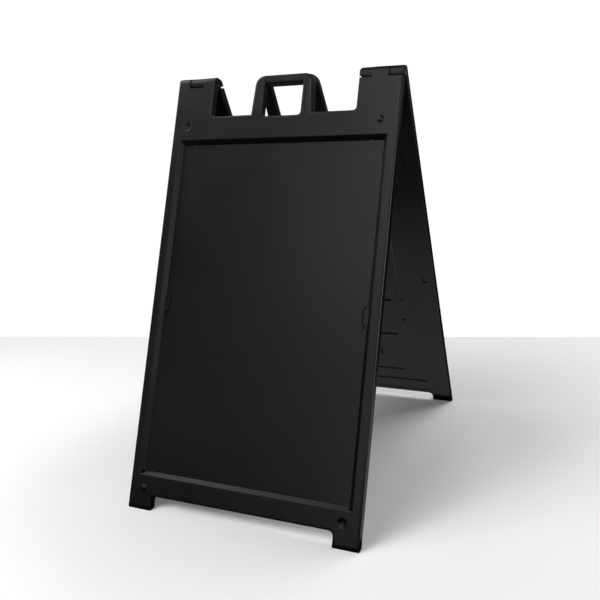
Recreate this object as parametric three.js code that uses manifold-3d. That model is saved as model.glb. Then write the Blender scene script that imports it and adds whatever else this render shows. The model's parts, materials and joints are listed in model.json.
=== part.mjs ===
// Folding A-frame sandwich board in black moulded polyethylene.
// Two identical mouldings, each turned half a turn about the vertical from the other,
// swing on two short pins through the ears at their top corners.
// Millimetres, +Z up, origin on the floor under the hinge line, X along the hinge line,
// the front panel's feet towards -Y. The board stands open, resting on its hinge stops.

import * as THREE from 'three';
import { mergeVertices } from 'three/addons/utils/BufferGeometryUtils.js';
import Module from 'manifold-3d';

const wasm = await Module();
wasm.setup();

// ---------------------------------------------------------------- driving sizes
const LEAN = THREE.MathUtils.degToRad(21.5); // each panel's lean from the vertical when open
const LEG = 1190; // hinge line to the floor, down the panel's inner face
const WIDTH = 682; // panel width
const THICK = 22; // hinge line to the panel's outer face
const SEAM = 0.4; // hinge line to the panel's inner face: half the gap when folded

const SHEET_W = 609; // sign sheet, a 24 x 36 inch blank
const SHEET_H = 913;
const SHEET_T = 3.6;
const RECESS_W = 610.6; // recess that the sheet drops into, at the sheet's level
const RECESS_H = 917.1;
const RECESS_TOP = 177; // hinge line down to the recess's top edge
const SHEET_REST = 0.8; // gap under the sheet
const RECESS_FLOOR = 7.8; // depth measures are from the hinge line, outwards
const SHEET_FACE = 11.8;
const BEVEL = 10.2; // slope width round the recess
const TAB = { in: 293, out: 309, top: 610, foot: 653, r: 8, face: 13.6, gap: 2.4 }; // sheet retaining tabs

const HEADER = 100; // hinge line down to the notch floors between ears and handle
const SKIRT = 1157; // hinge line down to the panel's bottom edge between the feet
const FOOT_W = 71;
const EAR_W = 120;
const KNUCKLE_R = 20; // hinge knuckles, about the hinge line
const BOSS_R = 10;
const HOOK_END = THREE.MathUtils.degToRad(165); // how far a knuckle wraps over the pin
const LIP = 14; // lower edge of the openings that the other panel's knuckles turn in
const TAB_U = [256, 303]; // middle knuckle of the right ear
const CLEAR = 0.5; // side play between neighbouring knuckles

const PIN_R = 5;
const BORE_R = 5.35;
const PIN_HEAD_R = 8;
const PIN_HEAD_T = 3;

const PLUG = { r: 12, rim: 16, rimT: 2.6, len: 13 }; // filler plug

const HANDLE_W = 187; // at the foot of its legs
const HANDLE_TAPER = 6; // narrower at the top by this much each side
const HANDLE_TOP = 11; // above the hinge line
const HANDLE_BACK = 1; // inner face of the handle's legs
const GRIP = { w: 117, top: 15, foot: 104.5 }; // hand opening
const TOE_UP = 12; // the feet's outer bottom edge slopes in from this height
const TOE_IN = 5;
const HINGE_Z = LEG * Math.cos(LEAN);

// ---------------------------------------------------------------- solids and frames
// Panel frame: x across, y inwards (so the outer face looks to -y), z up, origin on the hinge line.

function solid(geometry) {
  const g = geometry.index ? geometry.clone() : geometry;
  g.deleteAttribute('normal');
  g.deleteAttribute('uv');
  const merged = mergeVertices(g, 1e-4);
  return new wasm.Manifold(new wasm.Mesh({
    numProp: 3,
    vertProperties: new Float32Array(merged.attributes.position.array),
    triVerts: new Uint32Array(merged.index.array),
  }));
}

function geometryOf(manifold) {
  const mesh = manifold.getMesh();
  const g = new THREE.BufferGeometry();
  g.setAttribute('position', new THREE.BufferAttribute(new Float32Array(mesh.vertProperties), 3));
  g.setIndex(new THREE.BufferAttribute(new Uint32Array(mesh.triVerts), 1));
  g.computeVertexNormals();
  return g;
}

// A flat outline in x and z, given thickness between two depths outwards from the hinge line.
function plate(shape, n0, n1, round = 0, curveSegments = 6) {
  const g = new THREE.ExtrudeGeometry(shape, {
    depth: n1 - n0 - 2 * round,
    curveSegments,
    bevelEnabled: round > 0,
    bevelThickness: round,
    bevelSize: round,
    bevelOffset: -round,
    bevelSegments: 2,
  });
  g.translate(0, 0, n0 + round);
  g.rotateX(Math.PI / 2);
  return solid(g);
}

// A side profile, as [depth outwards, height] points, drawn out across the panel from x0 to x1.
function bar(profile, x0, x1) {
  const shape = new THREE.Shape(profile.map(([n, z]) => new THREE.Vector2(-n, z)));
  const g = new THREE.ExtrudeGeometry(shape, { depth: x1 - x0, bevelEnabled: false });
  g.translate(0, 0, x0);
  g.applyMatrix4(new THREE.Matrix4().makeBasis(
    new THREE.Vector3(0, 1, 0), new THREE.Vector3(0, 0, 1), new THREE.Vector3(1, 0, 0)));
  return solid(g);
}

function block(x0, x1, n0, n1, z0, z1) {
  const g = new THREE.BoxGeometry(x1 - x0, n1 - n0, z1 - z0);
  g.translate((x0 + x1) / 2, -(n0 + n1) / 2, (z0 + z1) / 2);
  return solid(g);
}

// A block whose sides slope: half sizes a at depth n0 and b at depth n1.
function taperedBlock(x, z, n0, a, n1, b) {
  const g = new THREE.BoxGeometry(2, n1 - n0, 2);
  const p = g.attributes.position;
  for (let i = 0; i < p.count; i++) {
    const half = p.getY(i) > 0 ? a : b; // +y is inwards, the shallower depth
    p.setX(i, x + Math.sign(p.getX(i)) * half[0]);
    p.setZ(i, z + Math.sign(p.getZ(i)) * half[1]);
  }
  g.translate(0, -(n0 + n1) / 2, 0);
  return solid(g);
}

// A round stud or pit standing square to the panel.
function stud(x, z, n0, r0, n1, r1, segments = 24) {
  const g = new THREE.CylinderGeometry(r1, r0, n1 - n0, segments);
  g.rotateX(Math.PI);
  g.translate(x, -(n0 + n1) / 2, z);
  return solid(g);
}

function cylinderX(x0, x1, r, segments = 32) {
  const g = new THREE.CylinderGeometry(r, r, x1 - x0, segments);
  g.rotateZ(Math.PI / 2);
  g.translate((x0 + x1) / 2, 0, 0);
  return solid(g);
}

function roundedRect(x0, x1, z0, z1, r) {
  const s = new THREE.Shape();
  s.moveTo(x0 + r, z0);
  s.lineTo(x1 - r, z0);
  s.absarc(x1 - r, z0 + r, r, -Math.PI / 2, 0, false);
  s.lineTo(x1, z1 - r);
  s.absarc(x1 - r, z1 - r, r, 0, Math.PI / 2, false);
  s.lineTo(x0 + r, z1);
  s.absarc(x0 + r, z1 - r, r, Math.PI / 2, Math.PI, false);
  s.lineTo(x0, z0 + r);
  s.absarc(x0 + r, z0 + r, r, Math.PI, 1.5 * Math.PI, false);
  return s;
}

// ---------------------------------------------------------------- the moulding
const half = WIDTH / 2;

// Outline with two ears, a handle between them and two feet. Only the right half is
// drawn by hand; the left half is its mirror image, walked backwards.
function outline(earTop, earCorner) {
  const earIn = half - EAR_W;
  const handle = HANDLE_W / 2;
  const steps = [ // [x, z, corner radius]
    [handle - HANDLE_TAPER, HANDLE_TOP, 28],
    [handle, -HEADER, 5],
    [earIn, -HEADER, 10],
    [earIn, earTop, earCorner * 0.4],
    [half, earTop, earCorner],
    [half, -LEG - 20, 0],
    [half - FOOT_W, -LEG - 20, 0],
    [half - FOOT_W, -SKIRT, 13],
  ];
  const corners = [...steps, ...steps.toReversed().map(([x, z, r]) => [-x, z, r])];
  const s = new THREE.Shape();
  corners.forEach(([x, z, r], i) => {
    const here = new THREE.Vector2(x, z);
    if (r === 0) {
      s.lineTo(x, z);
      return;
    }
    const [before, after] = [corners.at(i - 1), corners[(i + 1) % corners.length]]
      .map(([a, b]) => new THREE.Vector2(a, b).sub(here).normalize());
    const reach = r / Math.tan(before.angleTo(after) / 2);
    const [a, b] = [before, after].map((d) => here.clone().addScaledVector(d, reach));
    if (i === 0) s.moveTo(a.x, a.y); else s.lineTo(a.x, a.y);
    s.quadraticCurveTo(x, z, b.x, b.y);
  });
  s.closePath();
  return s;
}

// Side profile of a knuckle: over the pin from the outer face, a round boss about the pin,
// and a web back down into the ear.
function knuckleProfile() {
  const points = [[THICK, -26], [THICK, 0]];
  const steps = 14;
  for (let i = 1; i <= steps; i++) {
    const a = (HOOK_END * i) / steps;
    const r = a < Math.PI / 2
      ? Math.hypot(THICK * Math.cos(a), KNUCKLE_R * Math.sin(a)) : KNUCKLE_R;
    points.push([r * Math.cos(a), r * Math.sin(a)]);
  }
  const bossEnd = THREE.MathUtils.degToRad(300);
  for (let i = 0; i <= steps; i++) {
    const a = HOOK_END + ((bossEnd - HOOK_END) * i) / steps;
    points.push([BOSS_R * Math.cos(a), BOSS_R * Math.sin(a)]);
  }
  points.push([6, -26]);
  return points;
}

// Where this moulding's own knuckles stand across the two ears.
const OWN_KNUCKLES = [
  [-half, -TAB_U[1] - CLEAR],
  [-TAB_U[0] + CLEAR, -half + EAR_W],
  TAB_U,
];
const OPENINGS = [ // where the other panel's knuckles turn
  [-TAB_U[1] - CLEAR, -TAB_U[0] + CLEAR],
  [TAB_U[1], half + 5],
  [half - EAR_W - 5, TAB_U[0]],
];

function floorCut() {
  const g = new THREE.BoxGeometry(WIDTH + 40, 200, 100);
  g.translate(0, 0, -50);
  g.rotateX(LEAN);
  g.translate(0, 0, -LEG);
  return solid(g);
}

// The outer bottom edge of both feet slopes in.
function toeCut() {
  const floorAt = (n, up = 0) => -(HINGE_Z + n * Math.sin(LEAN) - up) / Math.cos(LEAN);
  const n = THICK - TOE_IN;
  return bar([
    [THICK + 0.01, floorAt(THICK, TOE_UP)],
    [n, floorAt(n)],
    [n, floorAt(n) - 20],
    [THICK + 20, floorAt(n) - 20],
    [THICK + 20, floorAt(THICK, TOE_UP)],
  ], -WIDTH, WIDTH);
}

// A tab's outline, grown all round by gap. Its outer end runs into the recess's slope.
function tabOutline(side, gap) {
  const x = [side * (TAB.in - gap), side * (TAB.out + gap)].sort((p, q) => p - q);
  return roundedRect(x[0], x[1], -TAB.foot - gap, -TAB.top + gap, TAB.r + gap);
}

function mouldedPanel() {
  const recessMid = -(RECESS_TOP + RECESS_H / 2);

  // the body, with ears cut off level with the hinge line and knuckles put on top
  let panel = plate(outline(0, 0), SEAM, THICK, 2.5, 5);
  for (const [a, b] of OPENINGS) panel = panel.subtract(block(a, b, -5, THICK + 5, -LIP, 50));
  let knuckles = null;
  for (const [a, b] of OWN_KNUCKLES) {
    const k = bar(knuckleProfile(), a, b);
    knuckles = knuckles ? knuckles.add(k) : k;
  }
  knuckles = knuckles.intersect(plate(outline(KNUCKLE_R + 0.5, 10), -40, 60, 0, 6));
  panel = panel.add(knuckles);

  // pin bores, with a counterbore at each end for the pin's head and its cap
  for (const side of [-1, 1]) {
    const [a, b] = side < 0 ? [-half - 1, -half + EAR_W + 1] : [half - EAR_W - 1, half + 1];
    panel = panel.subtract(cylinderX(a, b, BORE_R));
  }
  const bore = PIN_HEAD_R + 0.35;
  panel = panel.subtract(cylinderX(-half - 1, -half + PIN_HEAD_T + 0.6, bore));
  panel = panel.subtract(cylinderX(-half + EAR_W - PIN_HEAD_T - 0.6, -half + EAR_W + 1, bore));

  // sign recess: a flat pocket for the sheet and a slope round it up to the face
  panel = panel.subtract(taperedBlock(0, recessMid, RECESS_FLOOR,
    [RECESS_W / 2, RECESS_H / 2], SHEET_FACE + 0.02, [RECESS_W / 2, RECESS_H / 2]));
  const slope = (THICK + 1 - SHEET_FACE) * BEVEL / (THICK - SHEET_FACE);
  panel = panel.subtract(taperedBlock(0, recessMid, SHEET_FACE,
    [RECESS_W / 2, RECESS_H / 2], THICK + 1, [RECESS_W / 2 + slope, RECESS_H / 2 + slope]));
  // retaining tabs half way down each side, standing in notches in the sheet's edges
  for (const side of [-1, 1]) {
    panel = panel.subtract(plate(tabOutline(side, TAB.gap), RECESS_FLOOR, THICK + 1, 0, 3));
    panel = panel.add(plate(tabOutline(side, 0), RECESS_FLOOR - 1, TAB.face, 0, 3));
  }

  // stacking studs and pits at the corners of the face
  panel = panel.subtract(stud(-296, -127, THICK - 6, 8, THICK + 1, 12.5));
  panel = panel.subtract(stud(292, -1134, THICK - 6, 8, THICK + 1, 12.5));
  panel = panel.add(stud(292, -128, THICK - 2, 11, THICK + 4, 7.5));
  panel = panel.add(stud(-296, -1137, THICK - 2, 11, THICK + 4, 7.5));

  // inner face: a shallow field inside a flat border, ribs across it and hooked ribs beside them
  panel = panel.subtract(taperedBlock(0, -628, SEAM - 1, [268, 480], SEAM + 5, [264, 476]));
  const rib = (x0, x1, z0, z1) => block(x0, x1, SEAM + 1.5, SEAM + 5.5, z0, z1);
  for (const s of [268, 427, 585, 741, 889, 1055]) panel = panel.add(rib(-178, 178, -s - 4, -s + 4));
  for (const bottom of [424, 738, 1052]) {
    for (const side of [-1, 1]) {
      panel = panel.add(hookedRib(side, bottom));
    }
  }
  // locating peg and socket that meet the other panel's when folded
  panel = panel.add(stud(304, -644, SEAM - 5, 5, SEAM + 3, 8));
  panel = panel.subtract(stud(-304, -644, SEAM - 1, 9.5, SEAM + 8, 8));
  // shallow finger pads above the feet
  for (const side of [-1, 1]) {
    panel = panel.subtract(taperedBlock(side * 281, -1134, SEAM - 1, [10, 19], SEAM + 3, [7, 16]));
  }

  // filler hole in the header
  panel = panel.subtract(stud(180, -128, SEAM - 1, PLUG.rim + 0.4, SEAM + PLUG.rimT + 0.4, PLUG.rim + 0.4));
  panel = panel.subtract(stud(180, -128, SEAM, PLUG.r + 0.35, SEAM + PLUG.len + 0.6, PLUG.r + 0.35));

  panel = shapeHandle(panel);
  return panel.subtract(floorCut()).subtract(toeCut());
}

// A rib down the inner field that ends in a short bend outwards.
function hookedRib(side, bottom) {
  const s = new THREE.Shape();
  const x = 201;
  const w = 9;
  const top = -bottom + 235;
  s.moveTo(side * x, top);
  s.lineTo(side * x, -bottom + 22);
  s.quadraticCurveTo(side * x, -bottom + 4, side * (x + 14), -bottom - 6);
  s.lineTo(side * (x + 22), -bottom + 2);
  s.quadraticCurveTo(side * (x + w), -bottom + 12, side * (x + w), -bottom + 26);
  s.lineTo(side * (x + w), top);
  s.closePath();
  return plate(s, SEAM + 1.5, SEAM + 5.5, 0, 4);
}

// The handle: two grooved legs, and a rounder grip bar set back between them.
function shapeHandle(panel) {
  const w = HANDLE_W / 2;
  let p = panel;
  p = p.subtract(block(-w - 4, w + 4, -5, HANDLE_BACK, -HEADER + 0.01, HANDLE_TOP + 5));
  p = p.subtract(plate(roundedRect(-GRIP.w / 2, GRIP.w / 2, -GRIP.foot, 40, 9), -5, THICK + 5, 0, 4));
  for (const side of [-1, 1]) { // groove down each leg
    const x = side * (w + GRIP.w / 2) / 2;
    p = p.subtract(block(x - 1.5, x + 1.5, THICK - 1.5, THICK + 5, -86, -14));
  }
  const back = HANDLE_BACK + 0.2;
  const grip = bar([
    [back + 1.5, -GRIP.top], [11, -GRIP.top], [17, -GRIP.top + 3], [20, -GRIP.top + 9],
    [20, HANDLE_TOP - 6], [18, HANDLE_TOP - 1.5], [14, HANDLE_TOP], [back + 3, HANDLE_TOP],
    [back, HANDLE_TOP - 3],
    [back, -GRIP.top + 1.5],
  ], -GRIP.w / 2 - 3, GRIP.w / 2 + 3);
  // above the hinge line the back slopes away, upright when the board stands open
  const rise = HANDLE_TOP + 5;
  const relief = bar([
    [-5, 0], [HANDLE_BACK, 0], [HANDLE_BACK + rise * Math.tan(LEAN), rise], [-5, rise],
  ], -w - 4, w + 4);
  return p.add(grip).subtract(relief);
}

// ---------------------------------------------------------------- the small pieces
function hingePin(x0, x1) { // rod with a flat head at x0's end and a stub for the cap at x1
  return cylinderX(x0 + 0.6, x1 - PIN_HEAD_T - 1.2, PIN_R)
    .add(cylinderX(x0 + 0.2, x0 + 0.2 + PIN_HEAD_T, PIN_HEAD_R))
    .add(cylinderX(x1 - PIN_HEAD_T - 2, x1 - 1.2, PIN_R - 1.5));
}

function pinCap(x1) { // push-on ring over the pin's stub
  return cylinderX(x1 - PIN_HEAD_T - 0.2, x1 - 0.2, PIN_HEAD_R)
    .subtract(cylinderX(x1 - 10, x1 + 10, PIN_R - 1.2));
}

function signSheet() {
  const top = SHEET_H + SHEET_REST - RECESS_TOP - RECESS_H;
  let sheet = plate(roundedRect(-SHEET_W / 2, SHEET_W / 2, top - SHEET_H, top, 5),
    SHEET_FACE - SHEET_T, SHEET_FACE, 0, 3);
  for (const side of [-1, 1]) {
    sheet = sheet.subtract(plate(tabOutline(side, TAB.gap), 0, THICK, 0, 3));
  }
  return sheet;
}

function fillerPlug() {
  return stud(180, -128, SEAM + 0.1, PLUG.rim, SEAM + 0.1 + PLUG.rimT, PLUG.rim)
    .add(stud(180, -128, SEAM + 1, PLUG.r, SEAM + PLUG.len, PLUG.r - 0.4))
    .subtract(stud(180, -128, SEAM - 1, 7, SEAM + 1.2, 6));
}

// ---------------------------------------------------------------- the assembly
const black = (roughness) => new THREE.MeshStandardMaterial({ color: 0x17181a, roughness, metalness: 0 });
const steel = () => new THREE.MeshStandardMaterial({ color: 0x8d9094, roughness: 0.35, metalness: 1 });

function mesh(name, manifold, material) {
  const m = new THREE.Mesh(geometryOf(manifold), material);
  m.name = name;
  return m;
}

// One panel with what it carries, leaning about the hinge line.
function leaf(side, turn) {
  const lean = new THREE.Group();
  lean.position.z = HINGE_Z;
  lean.rotation.x = -LEAN;
  lean.add(mesh(`${side}_panel`, mouldedPanel(), black(0.55)));
  lean.add(mesh(`${side}_sign_sheet`, signSheet(), black(0.4)));
  lean.add(mesh(`${side}_filler_plug`, fillerPlug(), black(0.8)));
  const spin = new THREE.Group();
  spin.rotation.z = turn;
  spin.add(lean);
  return { spin, lean };
}

const board = new THREE.Group();
const front = leaf('front', 0);
const rear = leaf('rear', Math.PI);
board.add(front.spin, rear.spin);

// Each panel owns the pin of its left ear: head outside, cap inside.
for (const [leafGroup, side] of [[front.lean, 'left'], [rear.lean, 'right']]) {
  leafGroup.add(mesh(`${side}_hinge_pin`, hingePin(-half, -half + EAR_W), steel()));
  leafGroup.add(mesh(`${side}_pin_cap`, pinCap(-half + EAR_W), black(0.6)));
}

export default board;
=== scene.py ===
"""Folding A-frame sandwich board in black moulded polyethylene.

Two identical mouldings lean together on short hinge pins. Each one is worked out in a
panel frame of its own, in millimetres: x across the board, z up the panel from the hinge
line, and y inwards, so that the outer face lies at y = -THICK. place() turns a finished
mesh into its leaning position in the model's frame, in metres.
"""

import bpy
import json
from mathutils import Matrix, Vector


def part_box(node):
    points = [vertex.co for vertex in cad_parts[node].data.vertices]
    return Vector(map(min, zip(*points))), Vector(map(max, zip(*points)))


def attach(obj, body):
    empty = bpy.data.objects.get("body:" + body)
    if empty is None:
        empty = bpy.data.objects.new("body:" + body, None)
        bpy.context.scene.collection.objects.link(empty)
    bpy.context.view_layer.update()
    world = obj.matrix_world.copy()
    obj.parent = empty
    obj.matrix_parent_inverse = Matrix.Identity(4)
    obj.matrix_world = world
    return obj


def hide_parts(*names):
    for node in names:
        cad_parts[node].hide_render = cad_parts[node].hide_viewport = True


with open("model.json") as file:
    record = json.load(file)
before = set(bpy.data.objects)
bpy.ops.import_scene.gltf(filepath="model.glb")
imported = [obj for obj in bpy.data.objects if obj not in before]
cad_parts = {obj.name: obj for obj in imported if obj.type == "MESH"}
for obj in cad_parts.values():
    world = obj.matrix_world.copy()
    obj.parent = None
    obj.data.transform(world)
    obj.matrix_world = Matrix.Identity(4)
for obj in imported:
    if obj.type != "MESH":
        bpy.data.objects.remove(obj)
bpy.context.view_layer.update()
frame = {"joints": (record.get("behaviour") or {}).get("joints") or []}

import json
import math

import bmesh
import bpy
from mathutils import Matrix, Vector

# ---------------------------------------------------------------- driving sizes, mm
MM = 0.001
HINGE = frame["joints"][0]
HINGE_Z = HINGE["pos_m"][2] / MM
LEAN = math.radians(HINGE["range_deg"][1]) / 2
LEG = HINGE_Z / math.cos(LEAN)  # hinge line to the floor, down the inner face
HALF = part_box("front_panel")[1].x / MM
THICK = 22.0  # hinge line to the outer face
SEAM = 0.4  # hinge line to the inner face
EDGE, EDGE_DEEP = 6.5, 3.8  # soft rounding of the outer face's edges: across the face, and in depth
BACK_EDGE = 2.2  # rounding of the inner face's edges
TOE_UP, TOE_IN = 12.0, 5.0  # slope under the feet: height up the face, and depth

RECESS_W, RECESS_H = 610.6, 917.1
RECESS_TOP = 177.0
SHEET_REST = 0.8  # gap under the sheet
RECESS_FLOOR = 7.8
SHEET_W, SHEET_H, SHEET_T, SHEET_FACE = 609.0, 913.0, 3.6, 11.8
BEVEL_ROUND = 4.0  # rounding where the recess slope meets the face
TAB_IN, TAB_OUT, TAB_TOP, TAB_FOOT = 293.0, 309.0, 610.0, 653.0  # sheet retaining tabs
TAB_FACE, TAB_GAP = 13.6, 3.4

HEADER = 100.0
SKIRT = 1157.0
FOOT_W = 71.0
EAR_W = 120.0
EAR_IN = HALF - EAR_W
KNUCKLE_R, BOSS_R = 20.0, 10.0
HOOK_END = math.radians(165)
LIP = 14.0
TAB_U = (256.0, 303.0)
CLEAR = 0.5
BORE_R, PIN_R, PIN_HEAD_R, PIN_HEAD_T = 5.35, 5.0, 8.0, 3.0

HANDLE_HALF = 93.5  # at the foot of the legs
HANDLE_TAPER = 6.0  # narrower at the top by this much each side
HANDLE_TOP = 11.0
HANDLE_BACK = 1.0  # inner face of the handle's legs
GRIP_HALF, GRIP_TOP, GRIP_FOOT = 58.5, 15.0, 104.5
GRIP_FRONT = 20.0  # hinge line to the front of the bar

STUDS = ((292, -128), (-296, -1137))  # stacking studs on the outer face, x and z
STUD_BASE, STUD_HEIGHT = 9.4, 4.6
PITS = ((-296, -127), (292, -1134))  # stacking pits at the other two corners
PIT_MOUTH, PIT_DEPTH = 13.5, 6.0

FIELD_Z, FIELD_HALF_W, FIELD_HALF_H = -628, 266, 477  # the inner face's sunken field
CROSS_RIB_ROWS = (268, 427, 585, 741, 889, 1055)  # down from the hinge line
LONG_RIB_ROWS = (424, 738, 1052)  # lower ends of the hooked ribs
SHORT_RIB_ROWS = (357, 671, 985)
PLUG_X, PLUG_Z = 180, -128  # filler plug

STEPS = 6  # steps round a corner or a quarter round
SEGMENTS = 48  # round a turned body

# ---------------------------------------------------------------- view and light, m
CAMERA_AT = (0.858192, -1.567624, 0.947884)
CAMERA_TURN = (19.162, -16.06, -1.765)  # yaw, pitch and roll, degrees
CAMERA_LENS, CAMERA_SENSOR = 36.15, 36
CAMERA_SHIFT = (-0.17187, 0.0191)

FLOOR_EDGE = (-0.5832, 0.9864, 0.0)  # a point on the far edge
FLOOR_TURN = math.radians(13.6)
FLOOR_REACH = 9
FLOOR_FADE = 1.5  # from the edge's painted grey shade to full white
FLOOR_GLOW = ((0.7, 0.05), (4.0, 0.9))  # (distance from the middle, strength), near and far
SURROUND_RADIUS, SURROUND_GLOW = 30, 1.02
LIGHT_AIM = Vector((0, 0, 0.55))
BOUNCE_RISE = 0.012  # height of the bounce panels over the floor


# ---------------------------------------------------------------- mesh building
def quarter(steps=STEPS):
    """Angles from 0 to 90 degrees."""
    return [0.5 * math.pi * k / steps for k in range(steps + 1)]


def ring(corners, inset=0.0, grow=1.0, steps=STEPS):
    """A closed outline of (x, z, corner radius), anticlockwise, moved inwards by inset."""
    points = [Vector((x, z)) for x, z, _ in corners]
    count = len(points)
    moved, turns = [], []
    for i, here in enumerate(points):
        d1 = (here - points[i - 1]).normalized()
        d2 = (points[(i + 1) % count] - here).normalized()
        n1, n2 = Vector((-d1.y, d1.x)), Vector((-d2.y, d2.x))
        moved.append(here + (n1 + n2) / (1 + n1.dot(n2)) * inset)
        turns.append(d1.x * d2.y - d1.y * d2.x)
    line = []
    for i, here in enumerate(moved):
        before = (moved[i - 1] - here).normalized()
        after = (moved[(i + 1) % count] - here).normalized()
        r = corners[i][2] - grow * inset * math.copysign(1, turns[i])
        r = max(r, 0.25)
        angle = before.angle(after)
        if angle > math.pi - 1e-4:
            line.append(here)
            continue
        reach = r / math.tan(angle / 2)
        centre = here + (before + after).normalized() * (r / math.sin(angle / 2))
        start = here + before * reach - centre
        end = here + after * reach - centre
        a0 = math.atan2(start.y, start.x)
        turn = math.remainder(math.atan2(end.y, end.x) - a0, math.tau)
        line += [centre + r * Vector((math.cos(a0 + turn * k / steps), math.sin(a0 + turn * k / steps)))
                 for k in range(steps + 1)]
    return line


def solid(rings, closed=False, name="part"):
    """A body through rings of 3-D points with one count. It is capped, or joined end to end."""
    bm = bmesh.new()
    loops = [[bm.verts.new(p) for p in points] for points in rings]
    pairs = list(zip(loops, loops[1:]))
    if closed:
        pairs.append((loops[-1], loops[0]))
    for low, high in pairs:
        for i in range(len(low)):
            j = (i + 1) % len(low)
            bm.faces.new((low[i], low[j], high[j], high[i]))
    if not closed:
        bm.faces.new(list(reversed(loops[0])))
        bm.faces.new(loops[-1])
    bmesh.ops.recalc_face_normals(bm, faces=bm.faces)
    mesh = bpy.data.meshes.new(name)
    bm.to_mesh(mesh)
    bm.free()
    return show(mesh, name)


def show(mesh, name):
    """A new object in the scene with this mesh."""
    obj = bpy.data.objects.new(name, mesh)
    bpy.context.scene.collection.objects.link(obj)
    return obj


def layered(corners, layers, grow=1.0):
    """An outline carried through (depth outwards, inset) layers."""
    return solid([[Vector((p.x, -n, p.y)) for p in ring(corners, inset, grow)]
                  for n, inset in layers])


def rounded(n0, n1, r0, r1, deep0=None, deep1=None):
    """Layers of a plate from depth n0 to n1 with soft edges, r wide and deep in depth."""
    deep0, deep1 = deep0 or r0, deep1 or r1
    low, high = [(n0, 0.0)], [(n1, 0.0)]
    if r0:
        low = [(n0 + deep0 * (1 - math.cos(a)), r0 * (1 - math.sin(a))) for a in quarter()]
    if r1:
        high = [(n1 - deep1 * (1 - math.cos(a)), r1 * (1 - math.sin(a))) for a in reversed(quarter())]
    return low + high


def rect(x0, x1, z0, z1, r=0.25):
    """The corners of a rectangle, as ring() takes them."""
    return [(x0, z0, r), (x1, z0, r), (x1, z1, r), (x0, z1, r)]


def centred(x, z, half_x, half_z, r=0.25):
    """The same, from its middle and its half sizes."""
    return rect(x - half_x, x + half_x, z - half_z, z + half_z, r)


def turned(x, z, profile, segments=SEGMENTS):
    """A body turned about a line square to the panel, through (depth, radius) pairs."""
    circle = [Vector((math.cos(math.tau * k / segments), math.sin(math.tau * k / segments)))
              for k in range(segments)]
    return solid([[Vector((x + r * c.x, -n, z + r * c.y)) for c in circle] for n, r in profile])


def turned_x(profile):
    """A body turned about the hinge line, through (x, radius) pairs."""
    turn = [math.tau * k / SEGMENTS for k in range(SEGMENTS)]
    return solid([[Vector((x, r * math.cos(a), r * math.sin(a))) for a in turn] for x, r in profile])


def along_x(profile, ends):
    """A side profile of (depth, z) points drawn across the panel through (x, inset) ends."""
    rings = []
    for x, inset in ends:
        moved = ring([(n, z, 0.01) for n, z in profile], inset, grow=0.0, steps=1)
        rings.append([Vector((x, -p.x, p.y)) for p in moved])
    return solid(rings)


def soft_ends(x0, x1, r0, r1):
    """The (x, inset) ends of a bar whose edges are rounded by r0 and r1."""
    return ([(x0 + r0 * (1 - math.cos(a)), r0 * (1 - math.sin(a))) for a in quarter(4)]
            + [(x1 - r1 * (1 - math.cos(a)), r1 * (1 - math.sin(a))) for a in reversed(quarter(4))])


def merge(*parts):
    """One object from several bodies that don't touch."""
    parts = [p for p in parts if p]
    bm = bmesh.new()
    for part in parts:
        bm.from_mesh(part.data)
    mesh = bpy.data.meshes.new("merged")
    bm.to_mesh(mesh)
    bm.free()
    for part in parts:
        bpy.data.objects.remove(part)
    return show(mesh, "merged")


def combine(base, other, operation):
    """A boolean of two closed bodies, left in the first one; the second is used up."""
    modifier = base.modifiers.new("combine", "BOOLEAN")
    modifier.object = other
    modifier.operation = operation
    modifier.solver = "MANIFOLD"
    bpy.context.view_layer.update()
    result = bpy.data.meshes.new_from_object(base.evaluated_get(bpy.context.evaluated_depsgraph_get()))
    base.modifiers.clear()
    base.data = result
    bpy.data.objects.remove(other)
    return base


def add(base, *parts):
    """Joins parts that don't touch one another to the base."""
    return combine(base, merge(*parts) if len(parts) > 1 else parts[0], "UNION")


def cut(base, *parts):
    """Takes parts that don't touch one another out of the base."""
    return combine(base, merge(*parts) if len(parts) > 1 else parts[0], "DIFFERENCE")


# ---------------------------------------------------------------- the moulding
def outline(ear_top, ear_corner):
    """Header, ears and feet, anticlockwise from the front; the handle is a body of its own."""
    right = [
        (EAR_IN, -HEADER, 10.0), (EAR_IN, ear_top, ear_corner * 0.4), (HALF, ear_top, ear_corner),
        (HALF, -LEG - 20, 0.25), (HALF - FOOT_W, -LEG - 20, 0.25), (HALF - FOOT_W, -SKIRT, 13.0),
    ]
    left = [(-x, z, r) for x, z, r in reversed(right)]
    return list(reversed(right + left))


def knuckle_profile():
    """Over the pin from the outer face, with a round boss about the pin and flat flanks below."""
    foot = -LIP - 3.0
    steps = 22
    points = [(THICK, foot), (THICK, 0.0)]
    for i in range(1, steps + 1):
        a = HOOK_END * i / steps
        r = math.hypot(THICK * math.cos(a), KNUCKLE_R * math.sin(a)) if a < math.pi / 2 else KNUCKLE_R
        points.append((r * math.cos(a), r * math.sin(a)))
    boss_end = math.radians(264)
    for i in range(steps + 1):
        a = HOOK_END + (boss_end - HOOK_END) * i / steps
        points.append((BOSS_R * math.cos(a), BOSS_R * math.sin(a)))
    return points + [(SEAM, -BOSS_R - 1.0), (SEAM, foot)]


def knuckles():
    """This moulding's own three, kept within the ears' rounded outline."""
    profile = knuckle_profile()
    spans = [(-HALF - 3, -TAB_U[1] - CLEAR, 0.5, 1.5), (-TAB_U[0] + CLEAR, -EAR_IN + 3, 1.5, 0.5),
             (TAB_U[0], TAB_U[1], 1.5, 1.5)]
    bars = merge(*[along_x(profile, soft_ends(*span)) for span in spans])
    layers = [(-40, 0)] + rounded(0, THICK, 0, EDGE, 0, EDGE_DEEP)[1:]
    return combine(bars, layered(outline(KNUCKLE_R + 0.5, 10), layers), "INTERSECT")


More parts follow.
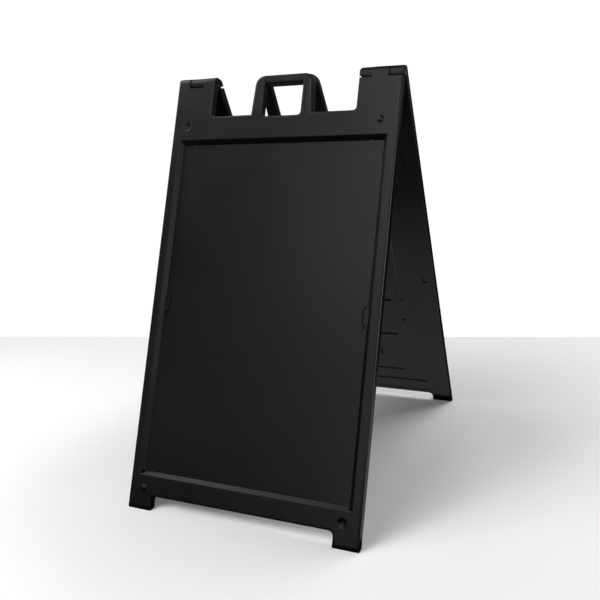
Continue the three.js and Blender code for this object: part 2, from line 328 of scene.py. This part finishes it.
def ear_cut():
    """Cuts the ears off level where the knuckles turn, with a small chamfer at the front."""
    chamfer = 1.2
    profile = [(-5, -LIP), (-5, 30), (THICK + 5, 30), (THICK + 5, -LIP - chamfer - 0.5),
               (THICK + 0.5, -LIP - chamfer - 0.5), (THICK - chamfer, -LIP)]
    return along_x(profile, [(-HALF - 5, 0), (HALF + 5, 0)])


def recess():
    """The pocket for the sign sheet with a rounded slope up to the face."""
    mid = -(RECESS_TOP + RECESS_H / 2)
    corners = centred(0, mid, RECESS_W / 2, RECESS_H / 2, 2.0)
    width = THICK - SHEET_FACE
    tangent = BEVEL_ROUND * math.tan(math.pi / 8)
    layers = [(RECESS_FLOOR, 0), (SHEET_FACE + 0.05, 0),
              (THICK - tangent * math.sin(math.pi / 4), -(width - tangent * math.cos(math.pi / 4)))]
    edge = width + tangent  # where the rounding runs out on the face
    for k in range(1, STEPS + 1):
        a = math.pi / 4 * (1 - k / STEPS)
        layers.append((THICK - BEVEL_ROUND * (1 - math.cos(a)) + 0.01,
                       -(edge - BEVEL_ROUND * math.sin(a))))
    layers.append((THICK + 1, -edge - 0.1))
    return layered(corners, layers, grow=0.35)


def ridge(corners, crest, inset, flare=5.0, foot=6.0):
    """A raised rib on the inner field, a soft hump from its crest down to its foot."""
    steps = 9
    layers = [(crest + (foot - crest) * (0.5 - 0.5 * math.cos(math.pi * k / steps)),
               inset - (inset + flare) * k / steps) for k in range(steps + 1)]
    return layered(corners, layers)


def hooked_rib(side, x, bottom, length, w=12.0, reach=20.0):
    """A rib down the inner field that bends outwards at its lower end."""
    top = -bottom + length
    line = [(x, top, 4.0), (x, -bottom + 2, 14.0), (x + reach, -bottom - 7, 4.0),
            (x + reach + 3, -bottom + 3, 4.0), (x + w, -bottom + 14, 8.0), (x + w, top, 4.0)]
    if side < 0:
        line = [(-px, pz, r) for px, pz, r in reversed(line)]
    return ridge(line, 1.2, 4.8)


def bead():
    """The raised bead round the inner field."""
    path = centred(0, FIELD_Z, FIELD_HALF_W + 3, FIELD_HALF_H + 3, 8)
    width, height, depth, steps = 9.0, 4.8, 6.0, 20
    rings = []
    for k in range(steps):
        a = math.tau * k / steps
        y = height * math.cos(a) - depth
        rings.append([Vector((p.x, y, p.y)) for p in ring(path, width * math.sin(a))])
    return solid(rings, closed=True)


def handle():
    """Two legs joined over the top, well rounded at the front."""
    top = HANDLE_HALF - HANDLE_TAPER
    corners = [(HANDLE_HALF + 1.2, -HEADER - 22, 0.25), (top, HANDLE_TOP, 28.0),
               (-top, HANDLE_TOP, 28.0), (-HANDLE_HALF - 1.2, -HEADER - 22, 0.25)]
    return layered(corners, rounded(HANDLE_BACK, THICK, 2.2, 10.0, 2.2, 8.0))


def hand_opening():
    """The hole under the grip, flared towards the front."""
    corners = rect(-GRIP_HALF, GRIP_HALF, -GRIP_FOOT, HANDLE_TOP - 1, 9.0)
    corners[2:] = [(x, z, 24.0) for x, z, _ in corners[2:]]
    flare = 7.0
    layers = [(-5, 0), (THICK - flare, 0)]
    layers += [(THICK - flare + flare * math.sin(a), -flare * (1 - math.cos(a))) for a in quarter()[1:]]
    layers.append((THICK + 4, -flare - 0.3))
    return layered(corners, layers)


def grip():
    """The bar across the top, a rounded section set back from the legs' front."""
    back = HANDLE_BACK + 0.5
    section = ring([(back, -GRIP_TOP, 4.0), (GRIP_FRONT, -GRIP_TOP, 9.0),
                    (GRIP_FRONT, HANDLE_TOP, 6.0), (back, HANDLE_TOP, 4.0)])
    x = GRIP_HALF + 4
    return solid([[Vector((side, -p.x, p.y)) for p in section] for side in (-x, x)])


def handle_relief():
    """Above the hinge line the handle's back slopes away, upright when the board stands open."""
    rise = HANDLE_TOP + 5
    profile = [(-5, 0), (-5, rise), (HANDLE_BACK + rise * math.tan(LEAN), rise), (HANDLE_BACK, 0)]
    return along_x(profile, [(-HANDLE_HALF - 4, 0), (HANDLE_HALF + 4, 0)])


def leg_groove(side):
    """The soft groove down a leg of the handle."""
    x = side * (HANDLE_HALF + GRIP_HALF - 3) / 2
    layers = [(THICK - 1.9, 1.8), (THICK - 1.7, 0.9), (THICK - 0.9, -0.5), (THICK - 0.2, -1.8),
              (THICK + 2, -3.2)]
    return layered(centred(x, -52, 2.6, 40, 2.4), layers)


def floor_cut():
    """Everything below the floor, as seen by the leaning panel."""
    drop = 60.0
    n0, n1 = -20.0, THICK + 20
    floor_at = [-(HINGE_Z + n * math.sin(LEAN)) / math.cos(LEAN) for n in (n0, n1)]
    profile = [(n0, floor_at[0]), (n0, floor_at[0] - drop), (n1, floor_at[1] - drop), (n1, floor_at[1])]
    return along_x(profile, [(-HALF - 20, 0), (HALF + 20, 0)])


def toe_cut():
    """The outer bottom edge of both feet slopes in."""
    def floor_at(n, up=0.0):
        return -(HINGE_Z + n * math.sin(LEAN) - up) / math.cos(LEAN)

    n = THICK - TOE_IN
    profile = [(THICK + 0.01, floor_at(THICK, TOE_UP)), (n, floor_at(n)), (n, floor_at(n) - 20),
               (THICK + 20, floor_at(n) - 20), (THICK + 20, floor_at(THICK, TOE_UP))]
    return along_x(profile, [(-HALF - 20, 0), (HALF + 20, 0)])


def dome(x, z):
    """A stacking stud, a low rounded button that swells out of the outer face."""
    steps = 10
    profile = [(THICK - 2, STUD_BASE + 2.0), (THICK - 0.03, STUD_BASE + 1.8)]
    for k in range(1, steps):
        t = k / steps
        rise = STUD_HEIGHT * (0.5 - 0.5 * math.cos(math.pi * t))
        profile.append((THICK + rise, STUD_BASE + 1.2 - (STUD_BASE - 1.0) * t ** 1.25))
    return turned(x, z, profile + [(THICK + STUD_HEIGHT, 1.2)])


def dish(x, z):
    """A stacking pit, the stud's counterpart: a round bowl with a soft rim."""
    steps = 10
    profile = [(THICK - PIT_DEPTH, 0.8)]
    for k in range(1, steps):
        t = k / steps
        sunk = PIT_DEPTH * (0.5 + 0.5 * math.cos(math.pi * t))
        profile.append((THICK - sunk, 0.8 + (PIT_MOUTH - 0.2) * t ** 0.8))
    return turned(x, z, profile + [(THICK + 0.01, PIT_MOUTH + 1.2), (THICK + 1, PIT_MOUTH + 1.3)])


def tab_outline(side, gap=0.0):
    """A sheet tab seen from the front, made larger all round by the gap."""
    x = sorted((side * (TAB_IN - gap), side * (TAB_OUT + gap)))
    return rect(x[0], x[1], -TAB_FOOT - gap, -TAB_TOP + gap, 8 + gap)


def retaining_tab(side):
    """Half way down each side a tongue stands in a notch in the sheet's edge."""
    layers = [(RECESS_FLOOR - 3, 0)] + rounded(RECESS_FLOOR, TAB_FACE, 0, 1.0)[1:]
    return layered(tab_outline(side), layers)


def tab_gap(side, n0, n1):
    """The gap round the inner part of a tab, wider at its lower end."""
    gap = layered(tab_outline(side, TAB_GAP), [(n0, 0), (n1, 0)])
    return add(gap, layered(centred(side * 299.5, -TAB_FOOT - 4, 6.0, 7.0, 4.0), [(n0, 0), (n1, 0)]))


def moulding():
    """One leaf's moulding, the same for front and rear."""
    panel = layered(outline(0, 2.5), rounded(SEAM, THICK, BACK_EDGE, EDGE, BACK_EDGE, EDGE_DEEP))
    cut(panel, ear_cut())
    add(panel, knuckles())
    add(panel, handle())
    cut(panel, hand_opening())
    add(panel, grip())
    cut(panel, handle_relief())
    for side in (-1, 1):
        cut(panel, leg_groove(side))

    # bores for the pins, counterbored on both sides of the left ear for a pin's head and cap
    wide = PIN_HEAD_R + 0.4
    deep = PIN_HEAD_T + 0.6
    cut(panel, turned_x([(-HALF - 2, wide), (-HALF + deep, wide), (-HALF + deep, BORE_R),
                         (-EAR_IN - deep, BORE_R), (-EAR_IN - deep, wide), (-EAR_IN + 2, wide)]),
        turned_x([(EAR_IN - 2, BORE_R), (HALF + 2, BORE_R)]))

    cut(panel, recess())
    low = -(RECESS_TOP + RECESS_H)
    reliefs = [turned(side * (RECESS_W / 2 + 3.4), low - 3.4, [(RECESS_FLOOR - 2, 4.4), (THICK - 2, 4.4)])
               for side in (-1, 1)]
    cut(panel, *reliefs)
    for side in (-1, 1):
        cut(panel, tab_gap(side, RECESS_FLOOR - 0.4, SHEET_FACE))

    # pits, and two small dimples on the right ear
    cut(panel, *[dish(x, z) for x, z in PITS],
        turned(320.4, -40.4, [(THICK - 1.3, 0.8), (THICK - 0.4, 1.8), (THICK + 1, 2.3)], 20),
        turned(237, -91, [(THICK - 1.0, 0.6), (THICK - 0.3, 1.5), (THICK + 1, 2.0)], 20))
    add(panel, *[dome(x, z) for x, z in STUDS], retaining_tab(-1), retaining_tab(1))

    inner_face(panel)
    cut(panel, floor_cut())
    cut(panel, toe_cut())
    return panel


def inner_face(panel):
    """A shallow channelled field with its beads and ribs, the locating peg and its socket."""
    channel = centred(0, -640, 298, 504, 12)
    soft = [(SEAM - 2, -1.2), (SEAM - 0.02, -1.0), (SEAM + 0.5, -0.1), (SEAM + 2.0, 1.6),
            (SEAM + 2.4, 2.9), (SEAM + 2.6, 5.0)]
    cut(panel, layered(channel, soft))
    field = centred(0, FIELD_Z, FIELD_HALF_W, FIELD_HALF_H, 8)
    cut(panel, layered(field, [(SEAM, -3), (SEAM + 2.6, 0), (SEAM + 4.6, 1.0), (SEAM + 5, 2.4)]))
    ribs = [ridge(centred(0, -s, 178, 5, 4.5), 1.6, 4.2) for s in CROSS_RIB_ROWS]
    ribs += [hooked_rib(side, 201, s, 235) for side in (-1, 1) for s in LONG_RIB_ROWS]
    ribs += [hooked_rib(side, 93, s, 72, w=8.0, reach=14.0)
             for side in (-1, 1) for s in SHORT_RIB_ROWS]
    add(panel, *ribs)
    add(panel, bead())
    # lugs over the feet and a peg that meets the other moulding's socket when folded
    lug = [(1.0, 3.4), (1.3, 2.0), (2.0, 0.8), (3.4, 0), (6, -0.8)]
    lugs = [layered(centred(side * 281, -1134, 9, 17, 7), lug) for side in (-1, 1)]
    peg = layered([(294, -655, 4), (314, -655, 4), (306.5, -631, 3), (301.5, -631, 3)],
                  [(SEAM - 4.6, 4.6), (SEAM - 4.0, 3.0), (SEAM - 2.8, 2.0), (SEAM, 0.6),
                   (SEAM + 3, 0)], grow=0.3)
    add(panel, *lugs, peg)
    cut(panel, layered([(-316, -657, 5), (-292, -657, 5), (-300, -629, 4), (-308, -629, 4)],
                       [(SEAM - 1, -1.0), (SEAM, -0.6), (SEAM + 1.2, 0.6), (SEAM + 5.4, 2.0)], grow=0.3))
    # seat for the filler plug
    seat = [(SEAM - 1, 16.6), (SEAM + 3.0, 16.6), (SEAM + 3.0, 12.4), (SEAM + 13.8, 12.4)]
    cut(panel, turned(PLUG_X, PLUG_Z, seat))


def sign_sheet():
    """A loose flat blank in the recess, notched round the tabs."""
    top = SHEET_H + SHEET_REST - RECESS_TOP - RECESS_H
    corners = rect(-SHEET_W / 2, SHEET_W / 2, top - SHEET_H, top, 5)
    n0, n1, r = SHEET_FACE - SHEET_T, SHEET_FACE, 0.5
    sheet = layered(corners, [(n0, r), (n0 + r, 0), (n1 - r, 0), (n1 - r * 0.3, r * 0.3), (n1, r)])
    for side in (-1, 1):
        cut(sheet, tab_gap(side, n0 - 1, n1 + 1))
    return sheet


def filler_plug():
    """A push-in disc with a coin slot, flush with the inner face."""
    n = SEAM + 0.15
    plug = turned(PLUG_X, PLUG_Z, [(n, 14.4), (n + 0.25, 15.4), (n + 0.9, 16.0), (n + 2.6, 16.0),
                                   (n + 2.6, 12.0), (n + 8, 12.0), (n + 12.2, 11.2), (n + 12.8, 10.4)])
    slot = centred(PLUG_X, PLUG_Z, 8.5, 1.6, 1.5)
    return cut(plug, layered(slot, [(n - 1, -0.3), (n, -0.2), (n + 1.3, 0)]))


def hinge_pin(x0, x1):
    """A headed pin through one ear, stepped down at its far end for the cap."""
    head, stub = x0 + 0.25, x1 - 1.3
    r = PIN_R
    neck = x1 - PIN_HEAD_T - 1.3
    return turned_x([(head, 5.4), (head + 0.25, 6.8), (head + 0.9, 7.7), (head + 1.7, 8.0),
                     (head + PIN_HEAD_T, 8.0), (head + PIN_HEAD_T, r), (neck - 0.6, r), (neck, r - 0.6),
                     (neck, r - 1.5), (stub - 0.5, r - 1.5), (stub, r - 2.0)])


def pin_cap(x1):
    """A push-on ring over the pin's stub."""
    a, b, bore = x1 - PIN_HEAD_T - 0.2, x1 - 0.25, PIN_R - 1.25
    profile = [(a, bore + 0.2), (a, 7.4), (a + 0.4, 8.0), (b - 1.2, 8.0), (b - 0.35, 7.5), (b, 6.6),
               (b, bore + 0.5), (b - 0.5, bore), (a + 0.3, bore)]
    turn = [math.tau * k / SEGMENTS for k in range(SEGMENTS)]
    rings = [[Vector((x, r * math.cos(t), r * math.sin(t))) for x, r in profile] for t in turn]
    return solid(rings, closed=True)


# ---------------------------------------------------------------- materials
class Nodes:
    """A material's node tree with short ways to add to it."""

    def __init__(self, name):
        self.material = bpy.data.materials.new(name)
        self.material.use_nodes = True
        self.tree = self.material.node_tree
        self.shader = self.tree.nodes["Principled BSDF"]
        self.where = self.add("ShaderNodeTexCoord").outputs["Object"]

    def add(self, kind, inputs=None, **settings):
        node = self.tree.nodes.new(kind)
        for key, value in settings.items():
            setattr(node, key, value)
        for key, value in (inputs or {}).items():
            if isinstance(value, bpy.types.NodeSocket):
                self.tree.links.new(value, node.inputs[key])
            else:
                node.inputs[key].default_value = value
        return node

    def link(self, output, socket):
        self.tree.links.new(output, self.shader.inputs[socket])

    def noise(self, scale, detail=4.0, rough=0.55):
        node = self.add("ShaderNodeTexNoise", {"Vector": self.where, "Scale": scale, "Detail": detail,
                                               "Roughness": rough})
        return node.outputs["Fac"]

    def ramp(self, value, low, high, to_low, to_high):
        node = self.add("ShaderNodeMapRange", {"Value": value, "From Min": low, "From Max": high,
                                               "To Min": to_low, "To Max": to_high})
        return node.outputs["Result"]

    def mix(self, factor, a, b):
        node = self.add("ShaderNodeMix", data_type="RGBA")
        self.tree.links.new(factor, node.inputs["Factor"])
        for socket, value in (("A", a), ("B", b)):
            slot = [s for s in node.inputs if s.name == socket and s.type == "RGBA"][0]
            if isinstance(value, bpy.types.NodeSocket):
                self.tree.links.new(value, slot)
            else:
                slot.default_value = (*value, 1)
        return [s for s in node.outputs if s.type == "RGBA"][0]

    def bump(self, height, strength, distance, below=None):
        inputs = {"Height": height, "Strength": strength, "Distance": distance}
        if below:
            inputs["Normal"] = below
        return self.add("ShaderNodeBump", inputs).outputs["Normal"]


def moulded_plastic(name, dark, light, rough, grain, grain_depth):
    """Black polyethylene: a fine spark-eroded grain, cloudy gloss, and a painted highlight in patches
    along the convex edges.
    """
    m = Nodes(name)
    cloud = m.noise(9.0, 3.0)
    fine = m.noise(grain, 2.0, 0.6)
    flow = m.noise(2.2, 2.0)
    # painted highlight: convex edges get a lighter base colour, broken up in patches, in place of the
    # light they catch
    edge = m.ramp(m.add("ShaderNodeNewGeometry").outputs["Pointiness"], 0.51, 0.58, 0.0, 1.0)
    edge_highlight_mask = m.add("ShaderNodeMath", {0: edge, 1: m.ramp(m.noise(60.0, 3.0), 0.45, 0.62, 0.0, 0.6)},
                    operation="MULTIPLY").outputs[0]
    body = m.mix(m.ramp(cloud, 0.35, 0.68, 0.0, 1.0), dark, light)
    highlight_tone = tuple(c * 2.2 for c in light)
    m.link(m.mix(edge_highlight_mask, body, highlight_tone), "Base Color")
    m.link(m.ramp(cloud, 0.3, 0.7, rough - 0.04, rough + 0.05), "Roughness")
    wavy = m.bump(flow, 0.12, 0.004)
    m.link(m.bump(fine, 0.35, grain_depth, wavy), "Normal")
    m.shader.inputs["IOR"].default_value = 1.5
    return m.material


def sheet_plastic():
    """The blank: smoother than the moulding, with hardly any grain."""
    m = Nodes("sheet_plastic")
    cloud = m.noise(3.5, 3.0)
    m.link(m.mix(m.ramp(cloud, 0.35, 0.65, 0.0, 1.0), (0.0026, 0.0026, 0.0028), (0.0036, 0.0036, 0.0039)),
           "Base Color")
    m.link(m.ramp(m.noise(14.0, 4.0), 0.3, 0.7, 0.36, 0.42), "Roughness")
    m.link(m.bump(m.noise(900.0, 2.0), 0.2, 0.00002, m.bump(m.noise(1.6, 1.0), 0.1, 0.004)), "Normal")
    m.shader.inputs["IOR"].default_value = 1.5
    return m.material


def rubber():
    """Matt black rubber for the filler plugs."""
    m = Nodes("plug_rubber")
    m.link(m.mix(m.noise(80.0), (0.008, 0.008, 0.008), (0.014, 0.014, 0.014)), "Base Color")
    m.link(m.ramp(m.noise(220.0), 0.3, 0.7, 0.62, 0.78), "Roughness")
    m.link(m.bump(m.noise(1500.0), 0.3, 0.00003), "Normal")
    return m.material


def steel():
    """Drawn rod: fine lines round the pin."""
    m = Nodes("pin_steel")
    stretched = m.add("ShaderNodeMapping", {"Vector": m.where, "Scale": (1.0, 0.04, 0.04)})
    drawn = m.add("ShaderNodeTexNoise", {"Vector": stretched.outputs["Vector"], "Scale": 2400.0,
                                         "Detail": 3.0})
    lines = drawn.outputs["Fac"]
    m.link(m.mix(m.noise(120.0), (0.40, 0.41, 0.43), (0.55, 0.56, 0.58)), "Base Color")
    m.link(m.ramp(lines, 0.3, 0.7, 0.24, 0.42), "Roughness")
    m.link(m.bump(lines, 0.25, 0.00002), "Normal")
    m.shader.inputs["Metallic"].default_value = 1.0
    return m.material


# ---------------------------------------------------------------- the assembly
def place(obj, name, body, node, material, turn):
    """Leans a panel-frame mesh into the model's frame, and stands it in for its CAD node."""
    lean = (Matrix.Rotation(turn, 4, "Z") @ Matrix.Translation((0, 0, HINGE_Z * MM))
            @ Matrix.Rotation(-LEAN, 4, "X") @ Matrix.Scale(MM, 4))
    obj.name = obj.data.name = name
    obj.data.transform(lean)
    obj.data.materials.clear()
    obj.data.materials.append(material)
    finish_surface(obj)
    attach(obj, body)
    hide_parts(node)
    return obj


def finish_surface(obj, crease=math.radians(33)):
    """Welds stray points, shades the rounded edges smooth and keeps the flats flat."""
    bm = bmesh.new()
    bm.from_mesh(obj.data)
    bmesh.ops.remove_doubles(bm, verts=bm.verts, dist=2e-6)
    bmesh.ops.dissolve_degenerate(bm, edges=bm.edges, dist=2e-6)
    for face in bm.faces:
        face.smooth = True
    for e in bm.edges:
        e.smooth = len(e.link_faces) == 2 and e.calc_face_angle(0) < crease
    bm.to_mesh(obj.data)
    bm.free()
    weighted = obj.modifiers.new("weighted_normals", "WEIGHTED_NORMAL")
    weighted.keep_sharp = True
    weighted.weight = 80


def copy_of(obj):
    """A second object with a mesh of its own."""
    return show(obj.data.copy(), "copy")


hdpe = moulded_plastic("moulded_polyethylene", (0.0028, 0.0028, 0.0030), (0.0044, 0.0044, 0.0047),
                       rough=0.40, grain=700.0, grain_depth=0.00004)
cap_plastic = moulded_plastic("cap_plastic", (0.006, 0.006, 0.006), (0.01, 0.01, 0.01),
                              rough=0.38, grain=900.0, grain_depth=0.00002)
blank, plug_rubber, pin_steel = sheet_plastic(), rubber(), steel()

shape = moulding()
for side, turn in (("front", 0.0), ("rear", math.pi)):
    place(copy_of(shape), f"{side}_moulding", side, f"{side}_panel", hdpe, turn)
    place(sign_sheet(), f"{side}_blank", side, f"{side}_sign_sheet", blank, turn)
    place(filler_plug(), f"{side}_plug", side, f"{side}_filler_plug", plug_rubber, turn)
    ear = "left" if side == "front" else "right"
    place(hinge_pin(-HALF, -EAR_IN), f"{ear}_pin", side, f"{ear}_hinge_pin", pin_steel, turn)
    place(pin_cap(-EAR_IN), f"{ear}_cap", side, f"{ear}_pin_cap", cap_plastic, turn)
bpy.data.objects.remove(shape)


# ---------------------------------------------------------------- camera, floor and light
def camera():
    """The photo's view."""
    yaw, pitch, roll = (math.radians(a) for a in CAMERA_TURN)
    forward = Vector((-math.sin(yaw) * math.cos(pitch), math.cos(yaw) * math.cos(pitch), math.sin(pitch)))
    level = Vector((math.cos(yaw), math.sin(yaw), 0))
    upright = level.cross(forward)
    right = level * math.cos(roll) + upright * math.sin(roll)
    up = -level * math.sin(roll) + upright * math.cos(roll)
    data = bpy.data.cameras.new("camera")
    data.sensor_width = CAMERA_SENSOR
    data.lens = CAMERA_LENS
    data.shift_x, data.shift_y = CAMERA_SHIFT
    obj = bpy.data.objects.new("camera", data)
    bpy.context.scene.collection.objects.link(obj)
    turn = Matrix((right, up, -forward)).transposed().to_4x4()
    obj.matrix_world = Matrix.Translation(CAMERA_AT) @ turn
    bpy.context.scene.camera = obj


def softbox(name, azimuth, rise, reach, width, height, power, lights="board"):
    """A soft light aimed at the board's middle. Azimuth 0 is in front, 90 on the right.

    A light for the board shows only as sheen. A light for the floor is only seen by diffuse
    surfaces, so it lights the floor and casts the board's shadow there.
    """
    turn, lift = math.radians(azimuth), math.radians(rise)
    away = Vector((math.sin(turn) * math.cos(lift), -math.cos(turn) * math.cos(lift), math.sin(lift)))
    data = bpy.data.lights.new(name, "AREA")
    data.shape = "RECTANGLE"
    data.size, data.size_y = width, height
    data.energy = power
    obj = bpy.data.objects.new(name, data)
    obj.location = LIGHT_AIM + away * reach
    obj.rotation_euler = (-away).to_track_quat("-Z", "Y").to_euler()
    obj.visible_camera = False
    obj.visible_glossy = lights == "board"
    obj.visible_diffuse = lights == "floor"
    bpy.context.scene.collection.objects.link(obj)


def floor_bounce(name, x, y, width, depth, power):
    """A panel just over the floor that faces up, in place of the light the floor throws back."""
    softbox(name, 0, -90, LIGHT_AIM.z - BOUNCE_RISE, width, depth, power)
    bpy.data.objects[name].location.x = x
    bpy.data.objects[name].location.y = y


def flat_mesh(name, corners):
    """One flat face."""
    mesh = bpy.data.meshes.new(name)
    mesh.from_pydata([Vector(c) for c in corners], [], [tuple(range(len(corners)))])
    return show(mesh, name)


def pale_floor():
    """A pale sheet that glows, greyer towards its far edge as painted shade.

    Its painted light grows with distance, where less lamp light reaches it, and it gives the board no
    light.
    """
    along = Vector((math.cos(FLOOR_TURN), math.sin(FLOOR_TURN), 0))
    near = Vector((along.y, -along.x, 0))
    far = Vector(FLOOR_EDGE)
    left, right = far - along * FLOOR_REACH, far + along * FLOOR_REACH
    obj = flat_mesh("floor", [left, left + near * FLOOR_REACH, right + near * FLOOR_REACH, right])
    paint = Nodes("floor_paint")
    nearness = paint.add("ShaderNodeVectorMath", {0: paint.where, 1: near}, operation="DOT_PRODUCT")
    start = far.dot(near)
    painted_shade_fade = paint.ramp(nearness.outputs["Value"], start, start + FLOOR_FADE, 0.0, 1.0)
    # painted light and shade: the floor glows though it is no lamp, its colour and glow greyer towards
    # the far edge
    paint.link(paint.mix(painted_shade_fade, (0.84, 0.84, 0.84), (0.88, 0.88, 0.88)), "Base Color")
    paint.link(paint.mix(painted_shade_fade, (0.70, 0.70, 0.70), (1.0, 1.0, 1.0)), "Emission Color")
    spread = paint.add("ShaderNodeVectorMath", {0: paint.where}, operation="LENGTH").outputs["Value"]
    (close, faint), (distant, strong) = FLOOR_GLOW
    paint.link(paint.ramp(spread, close, distant, faint, strong), "Emission Strength")
    paint.shader.inputs["Roughness"].default_value = 0.8
    paint.shader.inputs["Specular IOR Level"].default_value = 0.0
    obj.data.materials.append(paint.material)
    obj.visible_diffuse = False
    obj.visible_glossy = False


def white_surround():
    """A white backdrop all round, seen by the camera only."""
    bm = bmesh.new()
    bmesh.ops.create_uvsphere(bm, u_segments=48, v_segments=24, radius=SURROUND_RADIUS)
    mesh = bpy.data.meshes.new("surround")
    bm.to_mesh(mesh)
    bm.free()
    obj = show(mesh, "surround")
    white = Nodes("surround_white")
    white.shader.inputs["Base Color"].default_value = (0, 0, 0, 1)
    white.shader.inputs["Specular IOR Level"].default_value = 0.0
    white.shader.inputs["Emission Color"].default_value = (1, 1, 1, 1)
    white.shader.inputs["Emission Strength"].default_value = SURROUND_GLOW
    mesh.materials.append(white.material)
    for ray in ("diffuse", "glossy", "transmission", "volume_scatter", "shadow"):
        setattr(obj, f"visible_{ray}", False)


def unlit_world():
    """The world gives no light of its own."""
    world = bpy.data.worlds.new("world")
    world.use_nodes = True
    background = world.node_tree.nodes["Background"]
    background.inputs["Color"].default_value = (1, 1, 1, 1)
    background.inputs["Strength"].default_value = 0.0
    bpy.context.scene.world = world


camera()
pale_floor()
white_surround()
unlit_world()
bpy.context.scene.view_settings.view_transform = "Standard"

# name, azimuth, rise, distance, width, height, power
softbox("high_left", -90, 50, 3.0, 1.8, 1.8, 18)
softbox("high_front", 5, 55, 3.0, 1.6, 1.6, 15.5)
softbox("front", -15, 30, 3.2, 1.4, 1.4, 6.4)
softbox("front_low", 0, 4, 3.2, 1.4, 0.9, 6.5)
softbox("front_left_low", -35, 4, 3.2, 1.4, 0.9, 1.3)
softbox("left", -90, 20, 3.0, 1.2, 1.6, 5.7)
softbox("right", 74, 14, 3.0, 1.6, 1.8, 38)
softbox("right_low", 60, 4, 3.0, 1.0, 0.9, 2.4)
softbox("back", 180, 25, 3.2, 2.4, 2.0, 6.0)
softbox("back_high", 140, 55, 3.2, 2.0, 2.0, 3.2)
# name, x, y, width, depth, power
floor_bounce("bounce_between", -0.1, 0.0, 1.3, 0.84, 1.5)
floor_bounce("bounce_right", 1.05, -0.05, 0.8, 0.8, 2.0)
softbox("floor_front", -25, 45, 3.0, 1.8, 1.8, 33, lights="floor")
softbox("floor_left", -60, 60, 3.0, 1.8, 1.8, 24, lights="floor")
softbox("floor_left_low", -45, 30, 3.0, 1.8, 1.2, 43, lights="floor")
softbox("floor_back", 135, 50, 3.0, 1.8, 1.8, 50, lights="floor")
softbox("floor_far", 180, 60, 3.0, 1.8, 1.8, 16, lights="floor")
